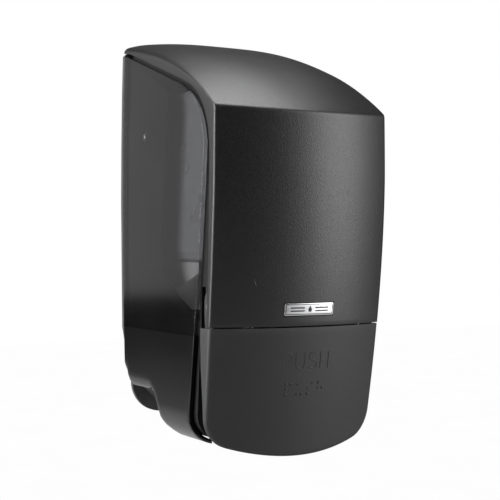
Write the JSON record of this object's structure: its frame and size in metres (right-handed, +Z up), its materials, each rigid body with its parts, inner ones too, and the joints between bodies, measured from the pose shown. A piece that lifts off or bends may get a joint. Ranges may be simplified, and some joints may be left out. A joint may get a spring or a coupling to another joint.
{
  "type": "wall mounted soap dispenser",
  "caption": "Wall mounted soap dispenser: a hinged black cover with smoked sides over a refill bottle and pump, worked by a push lever.",
  "frame": {"origin": "centre line of the flat wall face of the back plate, about level with the middle of the refill bottle's lower half", "axes": "+Y into the wall, so the dispenser faces -Y; +Z up; +X to the right of someone facing it"},
  "size_m": [0.097, 0.1225, 0.2142],
  "materials": {
    "grained_black": "black plastic with a fine moulded grain",
    "smoked_plastic": "glossy smoked see-through plastic",
    "frame_black": "smooth black plastic, half gloss",
    "chassis_black": "smooth matte black plastic",
    "badge_silver": "satin silver plate",
    "steel": "zinc plated steel",
    "acetal": "white bearing plastic",
    "lock_plastic": "black plastic",
    "bottle": "milky see-through plastic",
    "soap": "liquid soap",
    "pump_white": "white plastic",
    "valve_rubber": "soft grey rubber"
  },
  "bodies": {
    "chassis": {"back_plate": "chassis_black", "lock_guide": "chassis_black", "lock_screw_left": "steel", "lock_screw_right": "steel", "neck_bracket": "chassis_black", "bracket_screw_left": "steel", "bracket_screw_right": "steel", "refill_bottle": "bottle", "soap_fill": "soap", "bottle_cap": "pump_white", "pump_cylinder": "pump_white", "pump_spring": "steel", "hinge_pin_left": "steel", "hinge_pin_right": "steel"},
    "cover": {"front_cover": "grained_black", "badge": "badge_silver", "side_panel_right": "smoked_plastic", "side_panel_left": "smoked_plastic", "cover_frame": "frame_black", "cover_front_screw_left": "steel", "cover_front_screw_right": "steel", "cover_roof_screw_left": "steel", "cover_roof_screw_right": "steel", "panel_screw_right_upper": "steel", "panel_screw_right_lower": "steel", "panel_screw_left_upper": "steel", "panel_screw_left_lower": "steel", "lever_pin_right": "steel", "lever_pin_left": "steel", "hinge_bush_right": "acetal", "hinge_bush_left": "acetal"},
    "lever": {"push_lever": "grained_black", "lever_yoke": "acetal", "yoke_screw_left": "steel", "yoke_screw_right": "steel"},
    "nozzle": {"pump_actuator": "pump_white", "outlet_valve": "valve_rubber"},
    "lock": {"lock_bolt": "lock_plastic"}
  },
  "joints": [
    {"name": "cover_hinge", "type": "hinge", "parent": "chassis", "child": "cover", "pos_m": [0, -0.022, -0.065], "axis": [1, 0, 0], "range_deg": [0, 70]},
    {"name": "lever_push", "type": "hinge", "parent": "cover", "child": "lever", "pos_m": [0, -0.0995, -0.027], "axis": [1, 0, 0], "range_deg": [0, 9], "stiffness_Nm_per_rad": 1.2, "springref_deg": -5.73},
    {"name": "pump_stroke", "type": "slide", "parent": "chassis", "child": "nozzle", "axis": [0, 0, 1], "range_m": [0, 0.0085], "deforming": ["pump_spring"]},
    {"name": "lock_slide", "type": "slide", "parent": "chassis", "child": "lock", "axis": [0, 0, 1], "range_m": [0, 0.003]}
  ],
  "couplings": [
    {"joint": "pump_stroke", "follows": "lever_push", "m_per_rad": 0.054}
  ]
}
